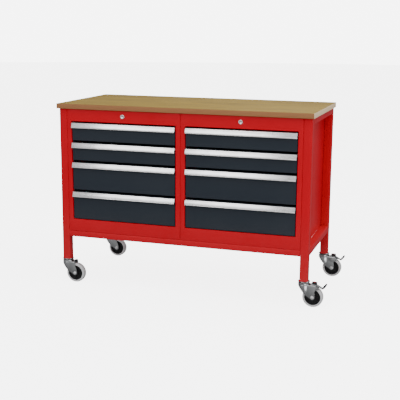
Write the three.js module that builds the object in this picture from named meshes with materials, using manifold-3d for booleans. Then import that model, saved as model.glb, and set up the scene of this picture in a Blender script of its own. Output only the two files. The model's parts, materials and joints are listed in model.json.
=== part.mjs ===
// A mobile workbench: a red steel frame on four swivel castors carries a wooden worktop, and two
// cabinets with four drawers each hang side by side between its legs. Millimetres, +Z up, the
// drawers open towards -Y and +X is the right-hand side of a person who faces them.
import * as THREE from 'three';
import { mergeVertices } from 'three/addons/utils/BufferGeometryUtils.js';
import Module from 'manifold-3d';

const wasm = await Module();
wasm.setup();

// ---- driving dimensions -------------------------------------------------------------------
const GAP = 0.3; // air left between pieces that touch
const PAST = 1; // how far a cutting tool runs past the face it cuts
const WORKING_HEIGHT = 925;
const CASTOR_HEIGHT = 125;
const WORKTOP = { length: 1300, depth: 600, thick: 25, edge: 1.5 };
const OVERHANG = { side: 10, front: 15, rear: 5, cabinet: 2 };
const LEG = { size: 40, wall: 2, corner: 3, footPlate: 4, studHole: 6.4 };
const RAIL = { size: 30, sideWidth: 40, wall: 2, lowerZ: 245 };
const SHEET = { cabinet: 1.5, front: 1.5, tray: 1.2, rack: 1.5 };
const OPENING = { halfWidth: 276, bottom: 338, top: 838, lip: 15 };
const MODULES = [100, 100, 150, 150]; // drawer pitches, from the top down
const FRONT = { halfWidth: 272.5, recess: 3, depth: 18, topGap: 7, gapBelow: 11.5 };
const TRAY = { halfWidth: 256, rearY: 250, floorLift: 3, sideDrop: 14, weldInset: 0.3 };
const RUNNER = { lift: 28, halfHeight: 18, inner: 266, back: 278.5, frontY: -262, rearY: 268 };
const SLIDER = { outer: 274, thick: 2, drop: 10, rise: 2 };
const UPRIGHT = { width: 30, bottom: 290, top: 845 };
const HANDLE = { topOut: 5, lipOut: 13.5, height: 27.5, wall: 2, flange: 15 };
const LOCK = { z: 870, hole: 9, barrel: 8.7, flange: 11, proud: 2.8, bore: 7.1, plug: 6.8, depth: 23 };
const LOCK_FACE = { chamfer: 1, plugRecess: 0.4 };
const KEYWAY = { width: 1.8, height: 8, depth: 4 };
const CAM = { thick: 2, halfWidth: 5, length: 18, overlap: 0.1 };
const CASTOR = { trail: 45, wheelRadius: 50, wheelWidth: 32, cheek: 3, cheekInside: 19 };
const TYRE = { bore: 38.8, shoulder: 4, chamfer: 1 };
const CENTRE = { rim: 38.5, rimHalf: 13, web: 33, webHalf: 5, boss: 11, bossHalf: 18.4, bore: 4.4 };
const AXLE = { radius: 4, hole: 4.3, headRadius: 7.5, headLength: 5 };
const HEAD = { disc: 29, discThick: 3, race: 23, raceTaper: 3, raceBottom: 118 };
const KINGPIN = { radius: 6.5, bottom: 102.7, rivet: 10 };
const CROWN = { bottom: 106, thick: 3, bore: 6.8, cup: 28, cupTop: 116.5, rear: 44 };
// A fork's side view, as pairs of distance behind the swivel axis and height above the floor: the
// slanted leading edge, then the round boss at the axle, then the rear edge up to the crown.
const FORK_SIDE = {
  lead: [[-27, 110], [-26, 107], [12, 60]],
  boss: 12,
  bossStart: 1.2 * Math.PI,
  bossEnd: 2.1 * Math.PI,
  plainBack: [[54, 72], [46, 90], [43, 110]],
  brakedBack: [[56, 72], [55, 80], [62, 88], [80, 92.5], [60, 110]],
};
const FORK_NOSE_X = -4; // middle of the round that closes the fork in front
const STUD = { radius: 6, top: 141 };
const PEDAL = { pivotX: 40, pivotZ: 114, eye: 4.6, pin: 2, hole: 2.3, halfWidth: 9 };
const EAR = { thick: 2.5, foot: 107, taper: 1 };
// The pedal's side view behind its eye: along the underside to the toe, then back over the top.
const PEDAL_UNDER = [[48, 110.2], [56, 102.5], [64, 102.5], [68, 101], [88, 91.5], [93, 91], [98, 96]];
const PEDAL_TOE = [[111, 112], [110, 116], [106, 118]];
const PEDAL_OVER = [[94, 105], [89, 97.5], [66, 110], [59, 118]];

// ---- places worked out from them -----------------------------------------------------------
const UNDERSIDE = WORKING_HEIGHT - WORKTOP.thick;
const FRAME = {
  side: WORKTOP.length / 2 - OVERHANG.side,
  front: -WORKTOP.depth / 2 + OVERHANG.front,
  rear: WORKTOP.depth / 2 - OVERHANG.rear,
};
const LEG_X = FRAME.side - LEG.size / 2;
const LEG_FRONT_Y = FRAME.front + LEG.size / 2;
const LEG_REAR_Y = FRAME.rear - LEG.size / 2;
const BAY = FRAME.side - LEG.size; // half the clear width between the legs
const CABINET = {
  halfWidth: BAY / 2 - GAP,
  bottom: RAIL.lowerZ + RAIL.size + GAP,
  top: UNDERSIDE - GAP,
  rear: FRAME.rear - OVERHANG.cabinet,
};
const FRONT_FACE = FRAME.front + FRONT.recess;

// ---- facets --------------------------------------------------------------------------------
const CURVE_STEPS = 16; // round a small circle
const CENTRE_STEPS = 24;
const TYRE_STEPS = 32;
const AXLE_STEPS = 12;
const PIN_STEPS = 8;
const EDGE_STEPS = 8; // along the part circles of a side view
const CORNER_STEPS = 2;
const MERGE_DISTANCE = 1e-4;

// ---- finishes ------------------------------------------------------------------------------
const finish = (color, roughness, metalness) =>
  new THREE.MeshStandardMaterial({ color, roughness, metalness });
const FINISHES = {
  redPaint: finish(0xbe1c1c, 0.35, 0),
  greyPaint: finish(0x2a323a, 0.4, 0),
  aluminium: finish(0xe0e2e4, 0.3, 1),
  wood: finish(0xa58c55, 0.55, 0),
  chrome: finish(0xd8d8d8, 0.15, 1),
  zinc: finish(0xb4b6b8, 0.35, 1),
  tyre: finish(0xb8bbbe, 0.7, 0),
  plastic: finish(0x17181a, 0.45, 0),
};

// ---- helpers -------------------------------------------------------------------------------
// A block between two corners. Every corner is set exactly, so faces that share a plane stay
// in one plane when pieces are joined.
function box(x0, x1, y0, y1, z0, z1) {
  const block = new THREE.BoxGeometry(1, 1, 1);
  const corners = block.attributes.position;
  for (let i = 0; i < corners.count; i += 1) {
    const x = corners.getX(i) < 0 ? x0 : x1;
    const y = corners.getY(i) < 0 ? y0 : y1;
    const z = corners.getZ(i) < 0 ? z0 : z1;
    corners.setXYZ(i, x, y, z);
  }
  return block;
}

// A block on either side of the plane x = centre, between two distances from it.
function sidePair(centre, near, far, y0, y1, z0, z1) {
  return [
    box(centre - far, centre - near, y0, y1, z0, z1),
    box(centre + near, centre + far, y0, y1, z0, z1),
  ];
}

// An outline drawn in X and Z, carried along Y.
function alongY(shape, y0, y1, curveSegments = CURVE_STEPS) {
  const prism = new THREE.ExtrudeGeometry(shape, { depth: y1 - y0, bevelEnabled: false, curveSegments });
  return prism.rotateX(Math.PI / 2).translate(0, y1, 0);
}

// An outline drawn in Y and Z, carried along X.
function alongX(shape, x0, x1) {
  const prism = new THREE.ExtrudeGeometry(shape, { depth: x1 - x0, bevelEnabled: false });
  const turn = new THREE.Matrix4().makeBasis(
    new THREE.Vector3(0, 1, 0), new THREE.Vector3(0, 0, 1), new THREE.Vector3(1, 0, 0));
  return prism.applyMatrix4(turn).translate(x0, 0, 0);
}

// An outline drawn in X and Y, carried along Z.
function alongZ(shape, z0, z1, curveSegments = CURVE_STEPS) {
  const prism = new THREE.ExtrudeGeometry(shape, { depth: z1 - z0, bevelEnabled: false, curveSegments });
  return prism.translate(0, 0, z0);
}

const discShape = (x, y, radius) => new THREE.Shape().absarc(x, y, radius, 0, Math.PI * 2);

function outline(points) {
  return new THREE.Shape(points.map(([x, y]) => new THREE.Vector2(x, y)));
}

function hexagon(x, z, radius) {
  const corners = [0, 1, 2, 3, 4, 5].map((k) => (k * Math.PI) / 3);
  return outline(corners.map((a) => [x + radius * Math.cos(a), z + radius * Math.sin(a)]));
}

// Profiles are pairs of radius and height, and are turned about Z or, for wheels, about Y.
function turnedAboutZ(profile, steps = CURVE_STEPS) {
  return turnedAboutY(profile, steps).rotateX(Math.PI / 2);
}

function turnedAboutY(profile, steps) {
  return new THREE.LatheGeometry(profile.map(([r, h]) => new THREE.Vector2(r, h)), steps);
}

function toSolid(geometry) {
  const bare = geometry.clone();
  bare.deleteAttribute('normal');
  bare.deleteAttribute('uv');
  const merged = mergeVertices(bare, MERGE_DISTANCE);
  const mesh = new wasm.Mesh({
    numProp: 3,
    vertProperties: new Float32Array(merged.attributes.position.array),
    triVerts: new Uint32Array(merged.index.array),
  });
  return new wasm.Manifold(mesh);
}

function toGeometry(solid) {
  const { vertProperties, triVerts } = solid.getMesh();
  const geometry = new THREE.BufferGeometry();
  geometry.setAttribute('position', new THREE.BufferAttribute(new Float32Array(vertProperties), 3));
  geometry.setIndex(new THREE.BufferAttribute(new Uint32Array(triVerts), 1));
  geometry.computeVertexNormals();
  return geometry;
}

function join(pieces) {
  return toGeometry(pieces.map(toSolid).reduce((whole, piece) => whole.add(piece)));
}

function cut(body, tools) {
  return toGeometry(tools.map(toSolid).reduce((rest, tool) => rest.subtract(tool), toSolid(body)));
}

function keepInside(body, limit) {
  return toGeometry(toSolid(body).intersect(toSolid(limit)));
}

function piece(name, geometry, material) {
  const mesh = new THREE.Mesh(geometry, material);
  mesh.name = name;
  return mesh;
}

// ---- worktop and frame ---------------------------------------------------------------------
function makeWorktop() {
  const halfLength = WORKTOP.length / 2 - WORKTOP.edge;
  const halfDepth = WORKTOP.depth / 2 - WORKTOP.edge;
  const plan = outline([[-halfLength, -halfDepth], [halfLength, -halfDepth],
    [halfLength, halfDepth], [-halfLength, halfDepth]]);
  const board = new THREE.ExtrudeGeometry(plan, {
    depth: WORKTOP.thick - 2 * WORKTOP.edge,
    bevelThickness: WORKTOP.edge,
    bevelSize: WORKTOP.edge,
    bevelSegments: 1,
  });
  return board.translate(0, 0, UNDERSIDE + WORKTOP.edge);
}

// A square tube with rounded corners, closed at the foot by a plate that takes a castor's stud.
function makeLeg(x, y) {
  const half = LEG.size / 2;
  const r = LEG.corner;
  const turn = Math.PI / 2;
  const section = new THREE.Shape();
  section.absarc(half - r, half - r, r, 0, turn);
  section.absarc(r - half, half - r, r, turn, 2 * turn);
  section.absarc(r - half, r - half, r, 2 * turn, 3 * turn);
  section.absarc(half - r, r - half, r, 3 * turn, 4 * turn);
  const inner = half - LEG.wall;
  const bar = alongZ(section, CASTOR_HEIGHT, UNDERSIDE - GAP, CORNER_STEPS);
  const footTop = CASTOR_HEIGHT + LEG.footPlate;
  const core = box(-inner, inner, -inner, inner, footTop, WORKING_HEIGHT);
  const hole = alongZ(discShape(0, 0, LEG.studHole), CASTOR_HEIGHT - PAST, footTop + PAST);
  return cut(bar, [core, hole]).translate(x, y, 0);
}

// A flat tube as wide as the legs that runs from front to rear between two of them.
function makeSideRail(side, z) {
  const outer = side * FRAME.side;
  const inner = side * (FRAME.side - RAIL.sideWidth);
  const x0 = Math.min(outer, inner);
  const x1 = Math.max(outer, inner);
  const y0 = FRAME.front + LEG.size + GAP;
  const y1 = FRAME.rear - LEG.size - GAP;
  const core = box(x0 + RAIL.wall, x1 - RAIL.wall, y0 - PAST, y1 + PAST,
    z + RAIL.wall, z + RAIL.size - RAIL.wall);
  return cut(box(x0, x1, y0, y1, z, z + RAIL.size), [core]);
}

// A square tube that runs from left to right between two legs and carries both cabinets.
function makeLowerRail(y) {
  const half = BAY - GAP;
  const core = box(-half - PAST, half + PAST, y + RAIL.wall, y + RAIL.size - RAIL.wall,
    RAIL.lowerZ + RAIL.wall, RAIL.lowerZ + RAIL.size - RAIL.wall);
  return cut(box(-half, half, y, y + RAIL.size, RAIL.lowerZ, RAIL.lowerZ + RAIL.size), [core]);
}

// ---- cabinets ------------------------------------------------------------------------------
// A folded sheet housing, open only at the front, where a lip runs back round the opening.
function makeCabinet(x) {
  const t = SHEET.cabinet;
  const { halfWidth, bottom, top, rear } = CABINET;
  const shell = box(x - halfWidth, x + halfWidth, FRAME.front, rear, bottom, top);
  const hollow = box(x - halfWidth + t, x + halfWidth - t, FRAME.front + t, rear - t, bottom + t, top - t);
  const mouth = box(x - OPENING.halfWidth, x + OPENING.halfWidth, FRAME.front - PAST, FRAME.front + t + PAST,
    OPENING.bottom, OPENING.top);
  const lockHole = alongY(discShape(x, LOCK.z, LOCK.hole), FRAME.front - PAST, FRAME.front + t + PAST);
  const lipOuter = box(x - OPENING.halfWidth - t, x + OPENING.halfWidth + t,
    FRAME.front + t / 2, FRAME.front + OPENING.lip, OPENING.bottom - t, OPENING.top + t);
  const lipInner = box(x - OPENING.halfWidth, x + OPENING.halfWidth,
    FRAME.front - PAST, FRAME.front + OPENING.lip + PAST, OPENING.bottom, OPENING.top);
  return join([cut(shell, [hollow, mouth, lockHole]), cut(lipOuter, [lipInner])]);
}

// Drawer heights, from the top down: the handle's top edge, the front's lower edge, the tray's
// floor, the top of its sides, and the middle of its runners.
function drawerLevels(index) {
  const above = MODULES.slice(0, index).reduce((sum, pitch) => sum + pitch, 0);
  const top = OPENING.top - FRONT.topGap - above;
  const bottom = top - MODULES[index] + FRONT.gapBelow;
  const floor = bottom + TRAY.floorLift;
  return { top, bottom, floor, sides: top - TRAY.sideDrop, runner: floor + RUNNER.lift };
}

// The fixed runners on one side of a cabinet: a channel for each drawer, on two folded uprights.
function makeRunnerRack(x, side) {
  const t = SHEET.rack;
  const wall = CABINET.halfWidth - SHEET.cabinet - GAP;
  const block = (near, far, y0, y1, z0, z1) => {
    const ends = [x + side * near, x + side * far];
    return box(Math.min(...ends), Math.max(...ends), y0, y1, z0, z1);
  };
  const parts = [];
  for (const y of [RUNNER.frontY, RUNNER.rearY - UPRIGHT.width]) {
    const post = block(RUNNER.back - t / 2, wall, y, y + UPRIGHT.width, UPRIGHT.bottom, UPRIGHT.top);
    const inside = block(RUNNER.back + t / 2, wall + PAST, y + t, y + UPRIGHT.width - t,
      UPRIGHT.bottom - PAST, UPRIGHT.top + PAST);
    parts.push(cut(post, [inside]));
  }
  MODULES.forEach((_, index) => {
    const z = drawerLevels(index).runner;
    const bar = block(RUNNER.inner, RUNNER.back, RUNNER.frontY, RUNNER.rearY,
      z - RUNNER.halfHeight, z + RUNNER.halfHeight);
    const groove = block(RUNNER.inner - PAST, RUNNER.back - t, RUNNER.frontY - PAST, RUNNER.rearY + PAST,
      z - RUNNER.halfHeight + t, z + RUNNER.halfHeight - t);
    parts.push(cut(bar, [groove]));
  });
  return join(parts);
}

// ---- drawers -------------------------------------------------------------------------------
// A folded tray with a slider along each side, and the front panel welded to it: a pan that is
// open at its lower edge. The plate between them is set into both.
function makeTray(x, index) {
  const { top, bottom, floor, sides, runner } = drawerLevels(index);
  const t = SHEET.tray;
  const f = SHEET.front;
  const half = TRAY.halfWidth;
  const rearY = FRONT_FACE + FRONT.depth;
  const frontY = rearY - 2 * t;
  const pan = cut(
    box(x - FRONT.halfWidth, x + FRONT.halfWidth, FRONT_FACE, rearY, bottom, top),
    [box(x - FRONT.halfWidth + f, x + FRONT.halfWidth - f, FRONT_FACE + f, rearY + PAST,
      bottom - PAST, top - f)],
  );
  const tub = cut(
    box(x - half, x + half, frontY, TRAY.rearY, floor, sides),
    [box(x - half + t, x + half - t, frontY + t, TRAY.rearY - t, floor + t, sides + PAST)],
  );
  const plate = box(x - half + t / 2, x + half - t / 2, frontY + TRAY.weldInset, frontY + t - TRAY.weldInset,
    floor + t / 2, top - f / 2);
  const shelf = sidePair(x, half - t / 2, SLIDER.outer - SLIDER.thick / 2, RUNNER.frontY, TRAY.rearY - 2 * t,
    runner, runner + SLIDER.rise);
  const strip = sidePair(x, SLIDER.outer - SLIDER.thick, SLIDER.outer, RUNNER.frontY - PAST, TRAY.rearY - t,
    runner - SLIDER.drop, runner + SLIDER.rise + PAST);
  return join([pan, tub, plate, ...shelf, ...strip]);
}

// A drawn profile: a flange on the drawer's front, a short top, and a face that leans outwards
// to a lip, so that fingers reach in behind it from below.
function makeHandle(x, index) {
  const { top } = drawerLevels(index);
  const back = FRONT_FACE - GAP;
  const out = FRAME.front - HANDLE.topOut;
  const lip = FRAME.front - HANDLE.lipOut;
  const w = HANDLE.wall;
  const foot = top - HANDLE.height;
  const section = outline([
    [back, top], [out, top], [lip, foot + w], [lip, foot], [lip + w, foot],
    [out + w, top - w], [back - w, top - w], [back - w, top - HANDLE.flange], [back, top - HANDLE.flange],
  ]);
  return alongX(section, x - FRONT.halfWidth, x + FRONT.halfWidth);
}

// ---- locks ---------------------------------------------------------------------------------
function makeLockBezel(x) {
  const face = FRAME.front - LOCK.proud;
  const behind = FRAME.front - GAP;
  const end = FRAME.front + LOCK.depth;
  const profile = [
    [LOCK.bore, face], [LOCK.flange - LOCK_FACE.chamfer, face],
    [LOCK.flange, face + LOCK_FACE.chamfer], [LOCK.flange, behind],
    [LOCK.barrel, behind], [LOCK.barrel, end], [LOCK.bore, end], [LOCK.bore, face],
  ];
  return turnedAboutY(profile, CURVE_STEPS).translate(x, 0, LOCK.z);
}

// The turning core, with its keyway at the front and the locking cam at the rear.
function makeLockPlug(x) {
  const face = FRAME.front - LOCK.proud + LOCK_FACE.plugRecess;
  const end = FRAME.front + LOCK.depth + GAP;
  const core = alongY(discShape(x, LOCK.z, LOCK.plug), face, end);
  const cam = box(x - CAM.halfWidth, x + CAM.halfWidth, end - CAM.overlap, end + CAM.thick,
    LOCK.z - CAM.length, LOCK.z + LOCK.plug);
  const keyway = box(x - KEYWAY.width / 2, x + KEYWAY.width / 2, face - PAST, face + KEYWAY.depth,
    LOCK.z - KEYWAY.height / 2, LOCK.z + KEYWAY.height / 2);
  return cut(join([core, cam]), [keyway]);
}

// ---- castors: the swivel axis is x = y = 0 and the floor is z = 0 ----------------------------
// The fixed head: a stud that goes up into the leg, a disc, the upper race and the kingpin.
function makeCastorMount() {
  const discTop = CASTOR_HEIGHT - GAP;
  const discBottom = discTop - HEAD.discThick;
  const rivetTop = CROWN.bottom - GAP;
  return turnedAboutZ([
    [0, KINGPIN.bottom], [KINGPIN.rivet, KINGPIN.bottom], [KINGPIN.rivet, rivetTop],
    [KINGPIN.radius, rivetTop], [KINGPIN.radius, HEAD.raceBottom],
    [HEAD.race - HEAD.raceTaper, HEAD.raceBottom], [HEAD.race, discBottom], [HEAD.disc, discBottom],
    [HEAD.disc, discTop], [STUD.radius, discTop], [STUD.radius, STUD.top], [0, STUD.top],
  ]);
}

// The fork seen from above: straight cheeks that a half circle joins in front.
function forkPlan(half, reach) {
  const plan = new THREE.Shape();
  plan.moveTo(reach, -half);
  plan.lineTo(reach, half);
  plan.absarc(FORK_NOSE_X, 0, half, Math.PI / 2, (3 * Math.PI) / 2);
  return plan;
}

// The fork seen from the side. A braked fork reaches further back over the tyre.
function forkSideView(braked) {
  const [start, ...lead] = FORK_SIDE.lead;
  const view = new THREE.Shape();
  view.moveTo(...start);
  lead.forEach(([x, z]) => view.lineTo(x, z));
  view.absarc(CASTOR.trail, CASTOR.wheelRadius, FORK_SIDE.boss, FORK_SIDE.bossStart, FORK_SIDE.bossEnd);
  const back = braked ? FORK_SIDE.brakedBack : FORK_SIDE.plainBack;
  back.forEach(([x, z]) => view.lineTo(x, z));
  return view;
}

// Two ears on the crown, and the pin between them that the pedal turns on.
function pedalEars() {
  const { pivotX, pivotZ, eye, pin, halfWidth } = PEDAL;
  const ear = new THREE.Shape();
  ear.absarc(pivotX, pivotZ, eye, 0, Math.PI);
  ear.lineTo(pivotX - eye, EAR.foot);
  ear.lineTo(pivotX + eye - EAR.taper, EAR.foot);
  const inner = halfWidth + GAP;
  const outer = inner + EAR.thick;
  return [
    alongY(ear, inner, outer, EDGE_STEPS), alongY(ear, -outer, -inner, EDGE_STEPS),
    alongY(discShape(pivotX, pivotZ, pin), -outer + PAST, outer - PAST, PIN_STEPS),
  ];
}

// The swivelling fork: a pressed housing that is closed above and in front and open behind, with
// the ball cup on its crown and, when it is braked, the ears for the pedal.
function makeFork(braked) {
  const outer = CASTOR.cheekInside + CASTOR.cheek;
  const crownTop = CROWN.bottom + CROWN.thick;
  const reach = CASTOR.trail + CASTOR.wheelRadius;
  const inner = CASTOR.cheekInside;
  const shell = cut(alongZ(forkPlan(outer, reach), 0, crownTop), [
    alongZ(forkPlan(inner, reach + PAST), -PAST, CROWN.bottom),
    box(CROWN.rear, reach + PAST, -inner, inner, 0, crownTop + PAST),
  ]);
  const housing = keepInside(shell, alongY(forkSideView(braked), -outer - PAST, outer + PAST, EDGE_STEPS));
  const cup = alongZ(discShape(0, 0, CROWN.cup), CROWN.bottom, CROWN.cupTop);
  const bore = alongZ(discShape(0, 0, CROWN.bore), CROWN.bottom - PAST, CROWN.cupTop + PAST);
  const hubHole = discShape(CASTOR.trail, CASTOR.wheelRadius, AXLE.hole);
  const axleHole = alongY(hubHole, -outer - PAST, outer + PAST, AXLE_STEPS);
  return cut(join([housing, cup, ...(braked ? pedalEars() : [])]), [bore, axleHole]);
}

// A bolt through both cheeks, with a hexagon at each end.
function makeAxle() {
  const y0 = CASTOR.cheekInside + CASTOR.cheek + GAP;
  const y1 = y0 + AXLE.headLength;
  const nut = hexagon(CASTOR.trail, CASTOR.wheelRadius, AXLE.headRadius);
  const shank = discShape(CASTOR.trail, CASTOR.wheelRadius, AXLE.radius);
  return join([alongY(shank, -y1, y1, AXLE_STEPS), alongY(nut, y0, y1), alongY(nut, -y1, -y0)]);
}

function makeWheelCentre() {
  const { rim, rimHalf, web, webHalf, boss, bossHalf, bore } = CENTRE;
  const half = [[bore, bossHalf], [boss, bossHalf], [boss, webHalf], [web, webHalf], [web, rimHalf],
    [rim, rimHalf]];
  const lower = half.map(([r, h]) => [r, -h]);
  const upper = [...half].reverse();
  return turnedAboutY([...lower, ...upper, lower[0]], CENTRE_STEPS)
    .translate(CASTOR.trail, 0, CASTOR.wheelRadius);
}

function makeTyre() {
  const half = CASTOR.wheelWidth / 2;
  const r = CASTOR.wheelRadius;
  const s = TYRE.shoulder;
  const side = [[TYRE.bore, half], [r - s, half], [r - TYRE.chamfer, half - s], [r, half - 2 * s]];
  const lower = side.map(([radius, h]) => [radius, -h]);
  const upper = [...side].reverse();
  return turnedAboutY([...lower, ...upper, lower[0]], TYRE_STEPS)
    .translate(CASTOR.trail, 0, CASTOR.wheelRadius);
}

// A lever on the pin above the crown: it carries a shoe over the tyre, dips behind the wheel and
// turns up into a foot plate.
function makeBrakePedal() {
  const { pivotX, pivotZ, eye, halfWidth, hole } = PEDAL;
  const side = new THREE.Shape();
  side.absarc(pivotX, pivotZ, eye - GAP, Math.PI / 2, (3 * Math.PI) / 2);
  [...PEDAL_UNDER, ...PEDAL_TOE, ...PEDAL_OVER].forEach(([x, z]) => side.lineTo(x, z));
  const pinHole = alongY(discShape(pivotX, pivotZ, hole), -halfWidth - PAST, halfWidth + PAST, PIN_STEPS);
  return cut(alongY(side, -halfWidth, halfWidth, EDGE_STEPS), [pinHole]);
}

// ---- assembly ------------------------------------------------------------------------------
const bench = new THREE.Group();

bench.add(piece('worktop', makeWorktop(), FINISHES.wood));

const SIDES = [['left', -1], ['right', 1]];
const ENDS = [['front', LEG_FRONT_Y], ['rear', LEG_REAR_Y]];

for (const [sideName, side] of SIDES) {
  for (const [endName, y] of ENDS) {
    bench.add(piece(`leg_${endName}_${sideName}`, makeLeg(side * LEG_X, y), FINISHES.redPaint));
  }
  const upperZ = UNDERSIDE - GAP - RAIL.size;
  bench.add(piece(`side_rail_lower_${sideName}`, makeSideRail(side, RAIL.lowerZ), FINISHES.redPaint));
  bench.add(piece(`side_rail_upper_${sideName}`, makeSideRail(side, upperZ), FINISHES.redPaint));
}
bench.add(piece('lower_rail_front', makeLowerRail(FRAME.front), FINISHES.redPaint));
bench.add(piece('lower_rail_rear', makeLowerRail(FRAME.rear - RAIL.size), FINISHES.redPaint));

for (const [sideName, side] of SIDES) {
  const x = (side * BAY) / 2;
  bench.add(piece(`cabinet_${sideName}`, makeCabinet(x), FINISHES.redPaint));
  for (const [rackName, rackSide] of SIDES) {
    bench.add(piece(`runner_rack_${sideName}_${rackName}`, makeRunnerRack(x, rackSide), FINISHES.zinc));
  }
  MODULES.forEach((_, index) => {
    const name = `drawer_${sideName}_${index + 1}`;
    bench.add(piece(`${name}_tray`, makeTray(x, index), FINISHES.greyPaint));
    bench.add(piece(`${name}_handle`, makeHandle(x, index), FINISHES.aluminium));
  });
  bench.add(piece(`lock_bezel_${sideName}`, makeLockBezel(x), FINISHES.chrome));
  bench.add(piece(`lock_plug_${sideName}`, makeLockPlug(x), FINISHES.chrome));
}

for (const [sideName, side] of SIDES) {
  const braked = side > 0;
  for (const [endName, y] of ENDS) {
    const where = `${endName}_${sideName}`;
    const castor = new THREE.Group();
    castor.position.set(side * LEG_X, y, 0);
    castor.add(piece(`castor_mount_${where}`, makeCastorMount(), FINISHES.zinc));
    castor.add(piece(`castor_fork_${where}`, makeFork(braked), FINISHES.zinc));
    castor.add(piece(`castor_axle_${where}`, makeAxle(), FINISHES.zinc));
    castor.add(piece(`wheel_centre_${where}`, makeWheelCentre(), FINISHES.plastic));
    castor.add(piece(`tyre_${where}`, makeTyre(), FINISHES.tyre));
    if (braked) castor.add(piece(`brake_pedal_${where}`, makeBrakePedal(), FINISHES.zinc));
    bench.add(castor);
  }
}

// The right-hand pedals reach past the worktop's end and the rear castors' heads past its back
// edge, so the bench moves by half of each reach, and the origin lies on the floor at the middle
// of the whole.
const [[toeX]] = PEDAL_TOE;
const reachRight = LEG_X + toeX - WORKTOP.length / 2;
const reachBack = LEG_REAR_Y + HEAD.disc - WORKTOP.depth / 2;
bench.position.set(-reachRight / 2, -reachBack / 2, 0);

export default bench;
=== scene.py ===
# A mobile workbench: a wooden worktop on a red steel frame with four swivel castors, and two
# cabinets with four drawers each. Metres, +Z up, the drawers open towards -Y.
import json
import math

import bmesh
import bpy
from mathutils import Matrix, Vector

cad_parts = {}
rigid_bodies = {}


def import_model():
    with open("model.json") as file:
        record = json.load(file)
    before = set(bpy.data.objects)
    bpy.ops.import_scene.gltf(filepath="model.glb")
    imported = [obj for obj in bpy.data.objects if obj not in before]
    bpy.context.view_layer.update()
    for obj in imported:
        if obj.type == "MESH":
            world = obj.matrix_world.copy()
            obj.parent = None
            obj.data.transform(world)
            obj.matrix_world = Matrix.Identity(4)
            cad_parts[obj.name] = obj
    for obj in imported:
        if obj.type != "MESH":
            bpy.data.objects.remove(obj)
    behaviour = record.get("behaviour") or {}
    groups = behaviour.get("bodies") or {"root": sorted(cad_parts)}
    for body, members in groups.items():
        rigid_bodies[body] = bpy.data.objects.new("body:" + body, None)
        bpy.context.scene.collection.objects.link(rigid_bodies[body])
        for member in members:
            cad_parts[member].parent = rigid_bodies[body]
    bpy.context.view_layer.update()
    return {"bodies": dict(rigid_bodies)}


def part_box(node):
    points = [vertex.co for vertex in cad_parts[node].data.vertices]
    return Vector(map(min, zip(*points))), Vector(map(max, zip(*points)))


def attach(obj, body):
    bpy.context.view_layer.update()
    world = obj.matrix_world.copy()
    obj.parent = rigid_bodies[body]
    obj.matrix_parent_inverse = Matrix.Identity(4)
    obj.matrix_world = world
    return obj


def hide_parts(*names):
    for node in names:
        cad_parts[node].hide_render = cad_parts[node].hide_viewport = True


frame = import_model()

MM = 0.001
SIDES = ("left", "right")
ENDS = ("front", "rear")
DRAWERS = (1, 2, 3, 4)
TOLERANCE = 0.1 * MM  # for picking a face or an edge by its place
MERGE_DISTANCE = 0.01 * MM
ALIGNED = 0.9  # cosine above which a face or an edge counts as facing or running along an axis
X_AXIS, Y_AXIS, Z_AXIS = Vector((1, 0, 0)), Vector((0, 1, 0)), Vector((0, 0, 1))


# ---- camera, floor and lights --------------------------------------------------------------
CAMERA_PLACE = (1.3325, -4.197, 1.335)
CAMERA_TURN = (78.3, 0.41, 18.0)  # degrees: tilt up from straight down, roll, turn to the left
LENS = 78.08
SENSOR_WIDTH = 36
FARTHEST_SEEN = 60
LIGHTS = (  # name, place, the point it faces, width and height, and watts
    ("softbox_front", (-1.3, -3.9, 2.15), (0, 0, 0.62), (3.2, 1.3), 50),
    ("softbox_above", (0.9, -0.2, 3.0), (0.2, 0, 0.6), (3.0, 2.4), 36),
    ("softbox_right", (3.6, -0.9, 1.6), (0, 0, 0.5), (1.6, 1.8), 27),
    ("softbox_behind", (0.4, 3.0, 3.4), (0, 0, 0.6), (3.0, 1.6), 30),
    ("softbox_low", (2.6, -2.7, -0.6), (0.6, -0.3, 0.1), (2.0, 0.8), 18),
)
SKY_LEVELS = (0.18, 0.95)  # the strength where it is dimmest and where it is brightest
SKY_HEIGHTS = (-0.8, 0.95)  # the upward part of the direction at which each level is reached
SKY_LEAN = -20  # degrees that the brightest part leans forward from overhead
SKY_CURVE = 2
STUDIO_RADIUS = 24
STUDIO_GLOW = {"floor": 5.0, "dome": 6.2}


def add_camera():
    bpy.ops.object.camera_add(location=CAMERA_PLACE)
    camera = bpy.context.object
    tilt, roll, turn = (math.radians(angle) for angle in CAMERA_TURN)
    aim = Matrix.Rotation(turn, 3, "Z") @ Matrix.Rotation(tilt, 3, "X")
    camera.rotation_euler = (aim @ Matrix.Rotation(roll, 3, "Z")).to_euler()
    camera.data.lens = LENS
    camera.data.sensor_width = SENSOR_WIDTH
    camera.data.clip_end = FARTHEST_SEEN
    bpy.context.scene.camera = camera


def add_light(name, place, target, size, power):
    bpy.ops.object.light_add(type="AREA", location=place)
    light = bpy.context.object
    light.name = name
    light.data.shape = "RECTANGLE"
    light.data.size, light.data.size_y = size
    light.data.energy = power
    light.visible_camera = False
    light.rotation_euler = (Vector(target) - Vector(place)).to_track_quat("-Z", "Y").to_euler()


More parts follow.
